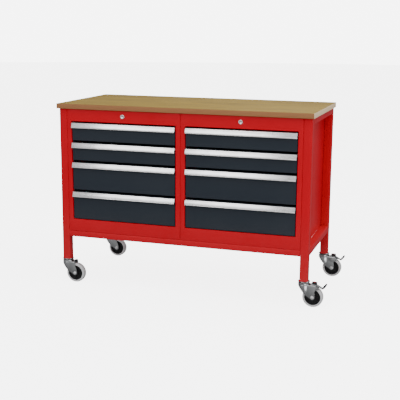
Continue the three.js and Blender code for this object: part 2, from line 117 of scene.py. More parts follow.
def add_surroundings():
    """Soft light from all round: brightest above and in front, and dim low behind."""
    world = bpy.data.worlds.new("studio")
    bpy.context.scene.world = world
    world.use_nodes = True
    nodes, links = world.node_tree.nodes, world.node_tree.links
    direction, turn, split, share, curve, level = (nodes.new(kind) for kind in (
        "ShaderNodeTexCoord", "ShaderNodeMapping", "ShaderNodeSeparateXYZ", "ShaderNodeMapRange",
        "ShaderNodeMath", "ShaderNodeMapRange"))
    turn.inputs["Rotation"].default_value = (math.radians(SKY_LEAN), 0, 0)
    nodes["Background"].inputs["Color"].default_value = (1, 1, 1, 1)
    share.inputs["From Min"].default_value, share.inputs["From Max"].default_value = SKY_HEIGHTS
    curve.operation = "POWER"
    curve.inputs[1].default_value = SKY_CURVE
    level.inputs["To Min"].default_value, level.inputs["To Max"].default_value = SKY_LEVELS
    links.new(direction.outputs["Generated"], turn.inputs["Vector"])
    links.new(turn.outputs["Vector"], split.inputs["Vector"])
    links.new(split.outputs["Z"], share.inputs["Value"])
    links.new(share.outputs["Result"], curve.inputs[0])
    links.new(curve.outputs["Value"], level.inputs["Value"])
    links.new(level.outputs["Result"], nodes["Background"].inputs["Strength"])


class Wire:
    """A node's output, with the operators that shader maths needs."""

    def __init__(self, shader, socket):
        self.shader = shader
        self.socket = socket

    def maths(self, operation, first, second=0.5):
        return self.shader.node("ShaderNodeMath", {"operation": operation}, {0: first, 1: second})

    def __add__(self, other):
        return self.maths("ADD", self, other)

    def __sub__(self, other):
        return self.maths("SUBTRACT", self, other)

    def __rsub__(self, other):
        return self.maths("SUBTRACT", other, self)

    def __mul__(self, other):
        return self.maths("MULTIPLY", self, other)

    def __truediv__(self, other):
        return self.maths("DIVIDE", self, other)

    def sine(self):
        return self.maths("SINE", self)

    def size(self):
        return self.maths("ABSOLUTE", self)

    def above(self, level):
        return self.maths("GREATER_THAN", self, level)


class Shader:
    """One material, built round a Principled BSDF."""

    def __init__(self, name, **finish):
        self.material = bpy.data.materials.new(name)
        self.material.use_nodes = True
        self.tree = self.material.node_tree
        self.surface = self.tree.nodes["Principled BSDF"]
        for socket, value in finish.items():
            self.surface.inputs[socket.replace("_", " ")].default_value = value
        self.place = self.node("ShaderNodeTexCoord", {}, {}, "Object")

    def node(self, kind, settings, sockets, output=0):
        made = self.tree.nodes.new(kind)
        for name, value in settings.items():
            if name == "stops":
                self.set_stops(made.color_ramp, value)
            else:
                setattr(made, name, value)
        for name, value in sockets.items():
            if isinstance(value, Wire):
                self.tree.links.new(value.socket, made.inputs[name])
            else:
                made.inputs[name].default_value = value
        return Wire(self, made.outputs[output])

    @staticmethod
    def set_stops(ramp, stops):
        while len(ramp.elements) < len(stops):
            ramp.elements.new(1)
        for element, (position, colour) in zip(ramp.elements, stops):
            element.position = position
            element.color = (*colour, 1)

    def noise(self, scale, detail=3, roughness=0.5, place=None, distortion=0):
        return self.node("ShaderNodeTexNoise", {}, {
            "Vector": place or self.place, "Scale": scale, "Detail": detail, "Roughness": roughness,
            "Distortion": distortion})

    def stretched(self, scale):
        return self.node("ShaderNodeMapping", {}, {"Vector": self.place, "Scale": scale})

    def range(self, value, low, high, to_low=0, to_high=1):
        return self.node("ShaderNodeMapRange", {}, {
            "Value": value, "From Min": low, "From Max": high, "To Min": to_low, "To Max": to_high})

    def mix(self, share, first, second):
        return self.node("ShaderNodeMix", {"data_type": "RGBA"}, {
            0: share, 6: as_colour(first), 7: as_colour(second)}, 2)

    def ramp(self, value, stops):
        return self.node("ShaderNodeValToRGB", {"stops": stops}, {0: value})

    def axis(self, letter):
        return self.node("ShaderNodeSeparateXYZ", {}, {0: self.place}, "XYZ".index(letter))

    def facing(self, letter):
        normal = self.node("ShaderNodeNewGeometry", {}, {}, "Normal")
        return self.node("ShaderNodeSeparateXYZ", {}, {0: normal}, "XYZ".index(letter))

    def mark(self, name):
        return self.node("ShaderNodeAttribute", {"attribute_name": name}, {}, "Fac")

    def bump(self, height, strength, distance):
        return self.node("ShaderNodeBump", {}, {
            "Height": height, "Strength": strength, "Distance": distance})

    def into(self, **sockets):
        for name, wire in sockets.items():
            self.tree.links.new(wire.socket, self.surface.inputs[name.replace("_", " ")])
        return self.material


def as_colour(value):
    return value if isinstance(value, Wire) else (*value, 1)


DUST = (0.35, 0.31, 0.28)
DUST_HEIGHTS = (0.45, 0.1)  # where dust starts on the way down, and where it is thickest
OLD_OIL = (0.16, 0.15, 0.13)


def powder_coat(name, light, dark, roughness, grain):
    """Sprayed powder: fine orange peel, a little uneven in colour and gloss, dusty lower down."""
    coat = Shader(name, Specular_IOR_Level=0.13)
    drift = coat.noise(3.5, 4)
    peel = coat.noise(grain, 2, 0.6)
    dust = coat.range(coat.axis("Z"), *DUST_HEIGHTS, 0, 0.5) * coat.noise(38, 5, 0.7)
    colour = coat.mix(coat.range(drift, 0.3, 0.7), dark, light)
    colour = coat.mix(dust * 0.25, colour, DUST)
    gloss = coat.range(coat.noise(14, 4), 0.25, 0.75, roughness - 0.05, roughness + 0.06)
    return coat.into(
        Base_Color=colour,
        Roughness=gloss + dust * 0.2,
        Normal=coat.bump(peel, 0.12, 0.0004),
    )


WOOD_TONES = (  # position in the grain's figure, and colour
    (0.30, (0.23, 0.145, 0.026)), (0.5, (0.38, 0.255, 0.050)), (0.70, (0.53, 0.375, 0.088)))
WOOD_FIBRE, WOOD_FLECK = (0.25, 0.16, 0.045), (0.17, 0.10, 0.035)
LONG_PLY, CROSS_PLY = (0.44, 0.20, 0.09), (0.27, 0.115, 0.05)
GLUE_LINE, EDGE_FIBRE = (0.09, 0.045, 0.018), (0.52, 0.28, 0.13)
# colour of the board's ends: the beech's paler end grain, lightened further as a painted highlight
# for glare
END_GRAIN_WITH_PAINTED_GLARE = (0.99, 0.78, 0.52)


def beech_board(name, top, glue_pitch):
    """Oiled beech multiplex: grain along X on the faces, thin plies showing round the edge."""
    wood = Shader(name, Specular_IOR_Level=0.08)
    along = wood.stretched((1.6, 26, 26))
    figure = wood.noise(1.7, 6, 0.62, along, 0.6)
    fibres = wood.noise(9, 8, 0.7, wood.stretched((3.0, 190, 190)))
    face = wood.ramp(figure, WOOD_TONES)
    face = wood.mix(wood.range(fibres, 0.35, 0.7, 0, 0.55), face, WOOD_FIBRE)
    flecks = wood.range(wood.noise(150, 2, 0.5, wood.stretched((0.35, 2.4, 2.4))), 0.62, 0.74)
    face = wood.mix(flecks * 0.35, face, WOOD_FLECK)
    depth = (top - wood.axis("Z")) / glue_pitch
    wave = (depth * (2 * math.pi) + wood.noise(30, 2) * 0.5).sine()
    cross_ply = wood.range(wave, -0.2, 0.2)
    glue = wood.range(wave.size(), 0.16, 0.0)
    end_fibres = wood.noise(60, 5, 0.7, wood.stretched((8, 8, 40)))
    plies = wood.mix(cross_ply, LONG_PLY, CROSS_PLY)
    plies = wood.mix(glue * 0.55, plies, GLUE_LINE)
    plies = wood.mix(wood.range(end_fibres, 0.3, 0.75, 0, 0.35), plies, EDGE_FIBRE)
    # both ends facing X take the pale colour: partly real end grain, partly a painted highlight for
    # glare
    at_end = wood.facing("X").size().above(0.7)
    plies = wood.mix(at_end * 0.85, plies, END_GRAIN_WITH_PAINTED_GLARE)
    shown_edge = wood.range(wood.facing("Z").size(), 0.85, 0.6)
    rough = wood.range(figure, 0.3, 0.7, 0.42, 0.58) + shown_edge * 0.12
    return wood.into(
        Base_Color=wood.mix(shown_edge, face, plies),
        Roughness=rough,
        Normal=wood.bump(fibres * 0.7 + glue * shown_edge * 0.6, 0.25, 0.0006),
    )


def bare_metal(name, colour, roughness, streak, along=(1, 1, 1), grime=0.0):
    """Metal with fine marks in one direction and small differences in brightness."""
    metal = Shader(name, Metallic=1.0)
    marks = metal.noise(streak, 4, 0.6, metal.stretched(along))
    cloud = metal.noise(22, 4, 0.6)
    shade = tuple(part * 0.78 for part in colour)
    tone = metal.mix(metal.range(cloud, 0.3, 0.7), shade, colour)
    dirt = metal.range(metal.noise(70, 6, 0.75), 0.5, 0.8, 0, grime)
    return metal.into(
        Base_Color=metal.mix(dirt, tone, OLD_OIL),
        Roughness=metal.range(marks, 0.3, 0.7, roughness - 0.06, roughness + 0.08) + dirt * 0.5,
        Normal=metal.bump(marks, 0.12, 0.0002),
    )


def moulded(name, light, dark, roughness, grain=700, worn=None):
    """Moulded rubber or plastic: a fine texture, and dust on what is marked as worn."""
    mould = Shader(name, Specular_IOR_Level=0.25)
    cloud = mould.noise(45, 4, 0.6)
    skin = mould.noise(grain, 2, 0.6)
    colour = mould.mix(mould.range(cloud, 0.3, 0.7), dark, light)
    rough = mould.range(cloud, 0.2, 0.8, roughness - 0.05, roughness + 0.07)
    if worn:
        scuffs = mould.mark("tread") * mould.range(mould.noise(130, 5, 0.7), 0.35, 0.7)
        colour = mould.mix(scuffs * 0.7, colour, worn)
        rough = rough + scuffs * 0.1
    return mould.into(Base_Color=colour, Roughness=rough, Normal=mould.bump(skin, 0.15, 0.0003))


def studio_paper(glow):
    paper = Shader("studio_paper", Emission_Color=(1, 1, 1, 1), Emission_Strength=glow)
    shade = paper.range(paper.noise(0.6, 3), 0.3, 0.7)
    return paper.into(Base_Color=paper.mix(shade, (0.90, 0.90, 0.90), (0.93, 0.93, 0.93)),
                      Roughness=paper.range(paper.noise(5, 4), 0.3, 0.7, 0.85, 0.95))


# ---- modelling -----------------------------------------------------------------------------
def select_only(piece):
    if bpy.context.object and bpy.context.object.mode != "OBJECT":
        bpy.ops.object.mode_set(mode="OBJECT")
    bpy.ops.object.select_all(action="DESELECT")
    piece.select_set(True)
    bpy.context.view_layer.objects.active = piece


def edit(piece, mode="FACE"):
    select_only(piece)
    bpy.ops.object.mode_set(mode="EDIT")
    bpy.ops.mesh.select_mode(type=mode)
    bpy.ops.mesh.select_all(action="DESELECT")


def leave():
    bpy.ops.object.mode_set(mode="OBJECT")


def pick(wanted, kind="faces"):
    """Selects the faces or edges of the piece in edit mode whose middle and direction suit."""
    bpy.ops.mesh.select_all(action="DESELECT")
    mesh = bmesh.from_edit_mesh(bpy.context.object.data)
    for part in getattr(mesh, kind):
        if kind == "faces":
            suits = wanted(part.calc_center_median(), part.normal)
        else:
            start, end = (corner.co for corner in part.verts)
            suits = wanted((start + end) / 2, (end - start).normalized())
        part.select_set(suits)
    mesh.select_flush_mode()
    bmesh.update_edit_mesh(bpy.context.object.data)


def facing(direction):
    return lambda middle, normal: normal.dot(direction) > ALIGNED


def running(direction):
    return lambda middle, course: abs(course.dot(direction)) > ALIGNED


def near(value, *levels):
    return any(abs(value - level) < TOLERANCE for level in levels)


def round_edges(width, segments, wanted):
    pick(wanted, "edges")
    bpy.ops.mesh.bevel(offset=width, segments=segments, affect="EDGES")


def block(name, low, high):
    low, high = Vector(low), Vector(high)
    bpy.ops.object.select_all(action="DESELECT")
    bpy.ops.mesh.primitive_cube_add(size=1, location=(low + high) / 2)
    made = bpy.context.object
    made.name = name
    made.scale = high - low
    settle(made)
    return made


def in_mm(pairs):
    """Pairs written in millimetres, as metres."""
    return [tuple(value * MM for value in pair) for pair in pairs]


def settle(piece):
    select_only(piece)
    bpy.ops.object.transform_apply(location=True, rotation=True, scale=True)


def line(name, points, closed=False):
    """A wire drawn corner by corner, from one vertex of a plane."""
    bpy.ops.object.select_all(action="DESELECT")
    bpy.ops.mesh.primitive_plane_add(size=MM, location=points[0])
    made = bpy.context.object
    made.name = name
    settle(made)
    edit(made, "VERT")
    bpy.ops.mesh.select_all(action="SELECT")
    bpy.ops.mesh.merge(type="CENTER")
    for start, end in zip(points, points[1:]):
        bpy.ops.mesh.extrude_region_move(
            TRANSFORM_OT_translate={"value": Vector(end) - Vector(start)})
    if closed:
        bpy.ops.mesh.select_all(action="SELECT")
        bpy.ops.mesh.edge_face_add()
    leave()
    return made


def sheet_from(name, points, along, closed=False):
    """A wire, or the face inside it, carried along a straight path."""
    made = line(name, points, closed)
    edit(made, "VERT")
    bpy.ops.mesh.select_all(action="SELECT")
    bpy.ops.mesh.extrude_region_move(TRANSFORM_OT_translate={"value": along})
    tidy_normals()
    leave()
    return made


def plate_from(name, side_view, start, width):
    """A solid plate with a side view of (x, z) pairs, from Y = start across its width, all in
    millimetres."""
    points = [(x * MM, start * MM, z * MM) for x, z in side_view]
    return sheet_from(name, points, (0, width * MM, 0), closed=True)


def turned(name, profile, centre, axis, steps):
    """A profile of (radius, height) pairs, spun a full turn about an axis through the centre."""
    across = X_AXIS if axis != X_AXIS else Y_AXIS
    centre = Vector(centre)
    points = [centre + across * radius + axis * height for radius, height in profile]
    made = line(name, points)
    edit(made, "VERT")
    bpy.ops.mesh.select_all(action="SELECT")
    bpy.ops.mesh.spin(steps=steps, angle=2 * math.pi, center=centre, axis=axis)
    tidy_normals()
    leave()
    return made


def tidy_normals():
    bpy.ops.mesh.select_all(action="SELECT")
    bpy.ops.mesh.remove_doubles(threshold=MERGE_DISTANCE)
    bpy.ops.mesh.normals_make_consistent(inside=False)


def apply(piece, kind, **settings):
    select_only(piece)
    modifier = piece.modifiers.new(kind.lower(), kind)
    for name, value in settings.items():
        setattr(modifier, name, value)
    bpy.ops.object.modifier_apply(modifier=modifier.name)


def thicken(piece, thickness, inwards=True):
    apply(piece, "SOLIDIFY", thickness=thickness, offset=-1 if inwards else 1,
          use_even_offset=True)


def soften(piece, width, segments=2, angle=40):
    apply(piece, "BEVEL", width=width, segments=segments, limit_method="ANGLE",
          angle_limit=math.radians(angle), use_clamp_overlap=True)


def carve(piece, tool, operation="DIFFERENCE"):
    apply(piece, "BOOLEAN", object=tool, operation=operation, solver="EXACT")
    bpy.data.objects.remove(tool)


def smooth(piece, angle=35):
    select_only(piece)
    bpy.ops.object.shade_smooth_by_angle(angle=math.radians(angle))
    return piece


def joined(name, parts):
    bpy.ops.object.select_all(action="DESELECT")
    for part in parts:
        part.select_set(True)
    bpy.context.view_layer.objects.active = parts[0]
    bpy.ops.object.join()
    parts[0].name = name
    parts[0].data.name = name
    return parts[0]


def copied(piece, name, shift, mirror=False):
    """A copy with its own mesh, moved, and turned left to right about X = 0 first if asked."""
    made = piece.copy()
    made.data = piece.data.copy()
    made.name = made.data.name = name
    bpy.context.scene.collection.objects.link(made)
    if mirror:
        made.data.transform(Matrix.Diagonal((-1, 1, 1, 1)))
        edit(made)
        bpy.ops.mesh.select_all(action="SELECT")
        bpy.ops.mesh.flip_normals()
        leave()
    made.data.transform(Matrix.Translation(shift))
    return made


def finish(piece, name, material, body, slot, *nodes):
    """Gives a piece its name and finish, and the place it has in the model."""
    piece.name = piece.data.name = name
    piece.data.materials.clear()
    piece.data.materials.append(material)
    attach(piece, body)
    if nodes:
        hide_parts(*nodes)


def discard(*pieces):
    for piece in pieces:
        bpy.data.objects.remove(piece)


# ---- finishes ------------------------------------------------------------------------------
WORKTOP_LOW, WORKTOP_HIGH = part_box("worktop")
PLIES = 9
GLUE_PITCH = 2 * (WORKTOP_HIGH.z - WORKTOP_LOW.z) / PLIES
RED = powder_coat("red_powder_coat", light=(0.67, 0.003, 0.016), dark=(0.62, 0.002, 0.013),
                  roughness=0.34, grain=900)
GREY = powder_coat("anthracite_powder_coat", light=(0.029, 0.036, 0.047),
                   dark=(0.025, 0.032, 0.043), roughness=0.42, grain=1200)
BEECH = beech_board("oiled_beech_board", WORKTOP_HIGH.z, GLUE_PITCH)
ALUMINIUM = bare_metal("satin_aluminium", (0.96, 0.96, 0.97), roughness=0.25, streak=90,
                       along=(0.4, 30, 30))
ZINC = bare_metal("zinc_plate", (0.54, 0.55, 0.56), roughness=0.19, streak=260, grime=0.12)
GALVANISED = bare_metal("galvanised_sheet", (0.60, 0.61, 0.62), roughness=0.42, streak=120,
                        along=(1, 0.2, 1), grime=0.15)
CHROME = bare_metal("polished_chrome", (0.95, 0.95, 0.95), roughness=0.2, streak=400)
BRIGHT_ZINC = bare_metal("bright_zinc_plate", (0.92, 0.93, 0.94), roughness=0.36, streak=300)
TYRE_RUBBER = moulded("grey_rubber", (0.74, 0.74, 0.75), (0.65, 0.65, 0.66), roughness=0.68,
                      grain=500, worn=(0.30, 0.29, 0.27))
BLACK_PLASTIC = moulded("black_polyamide", (0.022, 0.022, 0.024), (0.012, 0.012, 0.013),
                        roughness=0.45)
WHITE_PLASTIC = moulded("natural_nylon", (0.74, 0.73, 0.69), (0.62, 0.61, 0.57), roughness=0.5)
RED_PLASTIC = moulded("red_plastic", (0.62, 0.02, 0.02), (0.50, 0.015, 0.015), roughness=0.4)


# ---- worktop and frame ---------------------------------------------------------------------
TUBE_CORNER = 3 * MM
RAIL_CORNER = 1.5 * MM
TUBE_WALL = 2 * MM
FOOT_PLATE = 4 * MM
BEAD = 1.6 * MM  # a weld reaches 0.6 of this to each side of its line
RIPPLE = 1.4 * MM  # length of weld laid in one pass
BOARD_CORNER, BOARD_EDGE = 2.5 * MM, 1.4 * MM


def make_worktop():
    board = block("board", WORKTOP_LOW, WORKTOP_HIGH)
    edit(board, "EDGE")
    round_edges(BOARD_CORNER, 4, running(Z_AXIS))
    round_edges(BOARD_EDGE, 3, lambda middle, course: abs(course.z) < 0.1)
    leave()
    smooth(board)
    finish(board, "worktop_board", BEECH, "frame", "worktop_wood", "worktop")


def square_tube(name, low, high, direction, corner=TUBE_CORNER):
    """A tube with rounded corners and open ends, its length along the direction."""
    tube = block(name, low, high)
    edit(tube, "EDGE")
    round_edges(corner, 4, running(direction))
    bpy.ops.mesh.select_mode(type="FACE")
    pick(running(direction))
    bpy.ops.mesh.delete(type="FACE")
    leave()
    thicken(tube, TUBE_WALL)
    return smooth(tube)


def weld_bead(name, low, high, along):
    """A rounded run of weld metal between two corners, with a ripple for each pass."""
    bead = block(name, low, high)
    length = (Vector(high) - Vector(low)).dot(along)
    edit(bead, "EDGE")
    pick(running(along), "edges")
    bpy.ops.mesh.subdivide(number_cuts=max(3, int(length / RIPPLE)))
    leave()
    centre = (Vector(low) + Vector(high)) / 2
    for corner in bead.data.vertices:
        offset = corner.co - centre
        step = offset.dot(along)
        swell = 0.82 + 0.18 * math.cos(step / RIPPLE * math.pi)
        corner.co = centre + along * step + (offset - along * step) * swell
    soften(bead, BEAD * 0.45, 2, 60)
    return smooth(bead, 60)


def bead_along(axis, low, high):
    """A bead laid along an axis, from one point of a line to another."""
    half = BEAD * 0.6
    across = Vector((half, half, half)) - axis * half
    return weld_bead("bead", Vector(low) - across, Vector(high) + across, axis)


def make_legs():
    for end in ENDS:
        for side in SIDES:
            node = f"leg_{end}_{side}"
            low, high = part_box(node)
            tube = square_tube(node, low, high, Z_AXIS)
            plate = block("plate", (low.x + MM, low.y + MM, low.z),
                          (high.x - MM, high.y - MM, low.z + FOOT_PLATE))
            soften(plate, 0.8 * MM)
            finish(joined(node, [tube, plate]), f"{node}_tube", RED, "frame", "red_paint", node)


def make_seal(side, low, high):
    """The weld that closes the joint between a lower side rail and the cabinet beside it."""
    inner = high.x - 1.8 * MM if side == "left" else low.x - 0.2 * MM
    return weld_bead("seal", (inner, low.y + 2 * MM, high.z - MM),
                     (inner + 2 * MM, high.y - 2 * MM, high.z + 1.3 * MM), Y_AXIS)


def make_side_rails():
    for side in SIDES:
        for level in ("lower", "upper"):
            node = f"side_rail_{level}_{side}"
            low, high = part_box(node)
            parts = [square_tube(node, low, high, Y_AXIS, RAIL_CORNER)]
            for y in (low.y, high.y):
                for z in (low.z, high.z):
                    if z > high.z - MM and level == "upper":
                        continue
                    parts.append(bead_along(X_AXIS, (low.x + TUBE_CORNER, y, z),
                                            (high.x - TUBE_CORNER, y, z)))
            if level == "lower":
                parts.append(make_seal(side, low, high))
            finish(joined(node, parts), f"{node}_tube", RED, "frame", "red_paint", node)


def make_lower_rails():
    for end in ENDS:
        node = f"lower_rail_{end}"
        low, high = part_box(node)
        parts = [square_tube(node, low, high, X_AXIS)]
        for x in (low.x, high.x):
            parts.append(bead_along(Y_AXIS, (x, low.y + TUBE_CORNER, low.z),
                                    (x, high.y - TUBE_CORNER, low.z)))
            inner = high.y if end == "front" else low.y
            parts.append(bead_along(Z_AXIS, (x, inner, low.z + TUBE_WALL),
                                    (x, inner, high.z - TUBE_WALL)))
        finish(joined(node, parts), f"{node}_tube", RED, "frame", "red_paint", node)


# ---- cabinets ------------------------------------------------------------------------------
SHEET = 1.5 * MM
OPENING_HALF_WIDTH = 276 * MM
OPENING_BOTTOM, OPENING_TOP = 338 * MM, 838 * MM
LIP_DEPTH = 15 * MM
LOCK_HOLE, HOLE_REACH = 9 * MM, 10 * MM
REAR_FRAME = 11 * MM  # width of the fold round the rear panel
REAR_STEP, REAR_SINK = 1.2 * MM, 0.9 * MM
FOLD_ROUND, LIP_ROUND = 3.0 * MM, 1.0 * MM


def outer_folds(low, high):
    """The folds up the housing's corners and round its front."""
    def wanted(place, course):
        upright = abs(course.z) > ALIGNED and near(place.x, low.x, high.x)
        across = near(place.y, low.y) and near(place.z, low.z, high.z)
        return upright or across
    return wanted


def mouth_folds(front, middle):
    """The folds from the front frame into the lip round the opening."""
    def wanted(place, course):
        out = abs(place.x - middle)
        beside = near(out, OPENING_HALF_WIDTH) and OPENING_BOTTOM < place.z < OPENING_TOP
        over = near(place.z, OPENING_BOTTOM, OPENING_TOP) and out < OPENING_HALF_WIDTH
        return near(place.y, front) and (beside or over)
    return wanted


def make_cabinet(side):
    """A folded housing with a rounded front frame, a lip round the drawer opening, and a rear
    panel that is set into the fold all round."""
    node = f"cabinet_{side}"
    low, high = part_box(node)
    middle = (low.x + high.x) / 2
    shell = block(node, low, high)
    edit(shell)
    for place, direction in (((middle - OPENING_HALF_WIDTH, 0, 0), X_AXIS),
                             ((middle + OPENING_HALF_WIDTH, 0, 0), X_AXIS),
                             ((0, 0, OPENING_BOTTOM), Z_AXIS), ((0, 0, OPENING_TOP), Z_AXIS)):
        pick(facing(-Y_AXIS))
        bpy.ops.mesh.bisect(plane_co=place, plane_no=direction)
    pick(lambda place, normal: normal.y < -ALIGNED and abs(place.x - middle) < OPENING_HALF_WIDTH
         and OPENING_BOTTOM < place.z < OPENING_TOP)
    bpy.ops.mesh.extrude_region_move(TRANSFORM_OT_translate={"value": (0, LIP_DEPTH, 0)})
    bpy.ops.mesh.delete(type="FACE")
    pick(facing(Y_AXIS))
    bpy.ops.mesh.inset(thickness=REAR_FRAME, depth=0)
    bpy.ops.mesh.inset(thickness=REAR_STEP, depth=-REAR_SINK)
    leave()
    thicken(shell, SHEET)
    edit(shell, "EDGE")
    round_edges(FOLD_ROUND, 4, outer_folds(low, high))
    round_edges(LIP_ROUND, 3, mouth_folds(low.y, middle))
    leave()
    lock_low, lock_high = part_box(f"lock_bezel_{side}")
    hole = turned("hole", ((0, -HOLE_REACH), (LOCK_HOLE, -HOLE_REACH), (LOCK_HOLE, HOLE_REACH),
                           (0, HOLE_REACH)),
                  (middle, low.y, (lock_low.z + lock_high.z) / 2), Y_AXIS, 32)
    carve(shell, hole)
    smooth(shell)
    finish(shell, f"cabinet_{side}_housing", RED, "frame", "red_paint", node)


# ---- runners -------------------------------------------------------------------------------
CHANNEL_HALF = 18 * MM
CHANNEL_SHEET = 1.2 * MM
CHANNEL_HOOK = 3 * MM
POST_DEPTH, POST_WIDTH, POST_SET_BACK = 19.3 * MM, 27 * MM, 30 * MM
ROLLER = (  # radius and distance along the rivet, in millimetres
    (0, -2.4), (2.0, -2.4), (5.6, -2.4), (6.2, -1.8), (6.2, 1.8), (5.6, 2.4), (2.0, 2.4), (0, 2.4))


def runner_heights(side):
    """The middle of each runner, worked out from the trays' floors."""
    lift = FLOOR_LIFT + RUNNER_LIFT
    return [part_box(f"drawer_{side}_{number}_tray")[0].z + lift for number in DRAWERS]


def make_roller(centre):
    """A small nylon roller on a rivet, with its axis along X."""
    roller = turned("roller", in_mm(ROLLER), centre, X_AXIS, 24)
    return smooth(roller)


def make_runner_rack(side):
    """The rack on the left wall of one cabinet, and its mirror image on the right wall."""
    node = f"runner_rack_{side}_left"
    low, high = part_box(node)
    wall, back, mouth = low.x, low.x + POST_DEPTH, high.x
    parts = []
    for y in (low.y + SHEET, high.y - POST_SET_BACK + SHEET):
        plan = ((wall, y), (back, y), (back, y + POST_WIDTH), (wall, y + POST_WIDTH))
        post = sheet_from("post", [(*corner, low.z) for corner in plan], (0, 0, high.z - low.z))
        thicken(post, SHEET, False)
        soften(post, 0.6 * MM)
        parts.append(post)
    for z in runner_heights(side):
        upper, lower = z + CHANNEL_HALF, z - CHANNEL_HALF
        section = ((mouth, upper - CHANNEL_HOOK), (mouth, upper), (back + SHEET, upper),
                   (back + SHEET, lower), (mouth, lower))
        channel = sheet_from("channel", [(x, low.y, height) for x, height in section],
                             (0, high.y - low.y, 0))
        thicken(channel, CHANNEL_SHEET, False)
        soften(channel, 0.8 * MM)
        parts.append(channel)
    rack = joined(node, parts)
    smooth(rack)
    rollers = [make_roller((mouth - 4 * MM, low.y + 12 * MM, z - 10 * MM))
               for z in runner_heights(side)]
    wheels = joined("rollers", rollers)
    cabinet_low, cabinet_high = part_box(f"cabinet_{side}")
    across = (cabinet_low.x + cabinet_high.x, 0, 0)
    mirrored = copied(rack, "mirrored", across, mirror=True)
    mirrored_wheels = copied(wheels, "mirrored_wheels", across, mirror=True)
    finish(rack, f"{node}_channels", GALVANISED, "frame", "zinc_plate", node)
    finish(wheels, f"{node}_rollers", WHITE_PLASTIC, "frame", "wheel_plastic")
    other = f"runner_rack_{side}_right"
    finish(mirrored, f"{other}_channels", GALVANISED, "frame", "zinc_plate", other)
    finish(mirrored_wheels, f"{other}_rollers", WHITE_PLASTIC, "frame", "wheel_plastic")


# ---- drawers -------------------------------------------------------------------------------
FRONT_HALF_WIDTH = 272.5 * MM
FRONT_DEPTH = 18 * MM
TRAY_HALF_WIDTH = 256 * MM
TRAY_SHEET = 1.2 * MM
FLOOR_LIFT = 3 * MM  # of the tub's floor above the front's lower edge
RUNNER_LIFT = 28 * MM  # of a runner's middle above the floor
RIM_DROP = 14 * MM  # of the tub's rim below the front's upper edge
HEM, HEM_DROP = 7 * MM, 4 * MM
FRONT_ROUND, TUB_ROUND, RIM_ROUND = 1.4 * MM, 1.6 * MM, 0.8 * MM
SLIDER_REACH = 273.4 * MM
TRAY_ROLLER_REACH = 269.6 * MM


def make_front(middle, face, bottom, top):
    """The drawer's front: a shallow folded pan with rounded edges, open to the rear and below."""
    pan = block("pan", (middle - FRONT_HALF_WIDTH, face, bottom),
                (middle + FRONT_HALF_WIDTH, face + FRONT_DEPTH, top))
    edit(pan)
    pick(lambda place, normal: normal.y > ALIGNED or normal.z < -ALIGNED)
    bpy.ops.mesh.delete(type="FACE")
    leave()
    thicken(pan, SHEET)
    edit(pan, "EDGE")
    round_edges(FRONT_ROUND, 4, lambda place, course: (
        near(abs(place.x - middle), FRONT_HALF_WIDTH) and near(place.z, top)
        or near(place.y, face) and place.z > bottom + MM))
    leave()
    return pan


def make_tub(middle, front, rear, floor, rim):
    """The tray behind the front: a folded tub with a flat hem along its upper edges."""
    tub = block("tub", (middle - TRAY_HALF_WIDTH, front, floor),
                (middle + TRAY_HALF_WIDTH, rear, rim))
    edit(tub)
    pick(facing(Z_AXIS))
    bpy.ops.mesh.inset(thickness=HEM)
    bpy.ops.mesh.extrude_region_move(TRANSFORM_OT_translate={"value": (0, 0, -HEM_DROP)})
    bpy.ops.mesh.delete(type="FACE")
    leave()
    thicken(tub, TRAY_SHEET)
    edit(tub, "EDGE")

    def at_side(place):
        return near(abs(place.x - middle), TRAY_HALF_WIDTH)

    def at_end(place):
        return near(place.y, front, rear)

    round_edges(TUB_ROUND, 3, lambda place, course: (
        at_side(place) and at_end(place)
        or near(place.z, floor) and (at_side(place) or at_end(place))))
    round_edges(RIM_ROUND, 3, lambda place, course: (
        near(place.z, rim) and (at_side(place) or at_end(place))))
    leave()
    return tub


def make_sliders(middle, runner, front, rear):
    """An angle along each side of the tray, that rides in the cabinet's channel."""
    parts = []
    for turn in (-1, 1):
        wall = middle + turn * (TRAY_HALF_WIDTH - 0.4 * MM)
        outer = middle + turn * SLIDER_REACH
        section = ((wall, -8 * MM), (wall, 2 * MM), (outer, 2 * MM), (outer, -9 * MM))
        angle = sheet_from("angle", [(x, front, runner + height) for x, height in section],
                           (0, rear - front, 0))
        thicken(angle, TRAY_SHEET)
        soften(angle, 0.8 * MM)
        parts.append(angle)
    return parts


def make_drawer(side, number, made):
    """One drawer. Drawers of the same height are copies of the first one made."""
    node = f"drawer_{side}_{number}"
    low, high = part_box(f"{node}_tray")
    middle = (low.x + high.x) / 2
    height = round((high.z - low.z) / MM)
    place = Vector((middle, low.y, low.z))
    if height not in made:
        floor = low.z + FLOOR_LIFT
        runner = floor + RUNNER_LIFT
        rim = high.z - RIM_DROP
        back = low.y + FRONT_DEPTH
        plate = block("plate", (middle - TRAY_HALF_WIDTH + MM, back - 2 * MM, floor + MM),
                      (middle + TRAY_HALF_WIDTH - MM, back - MM, high.z - MM))
        parts = [make_front(middle, low.y, low.z, high.z),
                 make_tub(middle, back - TRAY_SHEET, high.y, floor, rim), plate]
        parts += make_sliders(middle, runner, low.y + 20 * MM, high.y - 2 * MM)
        tray = joined("tray", parts)
        smooth(tray)
        rollers = joined("rollers", [
            make_roller((middle + turn * TRAY_ROLLER_REACH, high.y - 9 * MM, runner - 8 * MM))
            for turn in (-1, 1)])
        made[height] = (tray, rollers, place)
    tray, rollers, first_place = made[height]
    shift = place - first_place
    finish(copied(tray, node, shift), f"{node}_box", GREY, node, "grey_paint", f"{node}_tray")
    finish(copied(rollers, node, shift), f"{node}_rollers", WHITE_PLASTIC, node, "wheel_plastic")


HANDLE_WALL = 1.8 * MM
HANDLE_FLANGE = 14 * MM
GROOVES, GROOVE_DEPTH = (0.20, 0.80), 0.35 * MM  # places as shares of the face's height
HANDLE_LIP = ((0, 2), (0.3, 0.4), (1.4, 0), (2.6, 0.6), (3.0, 2.2))  # inwards and up


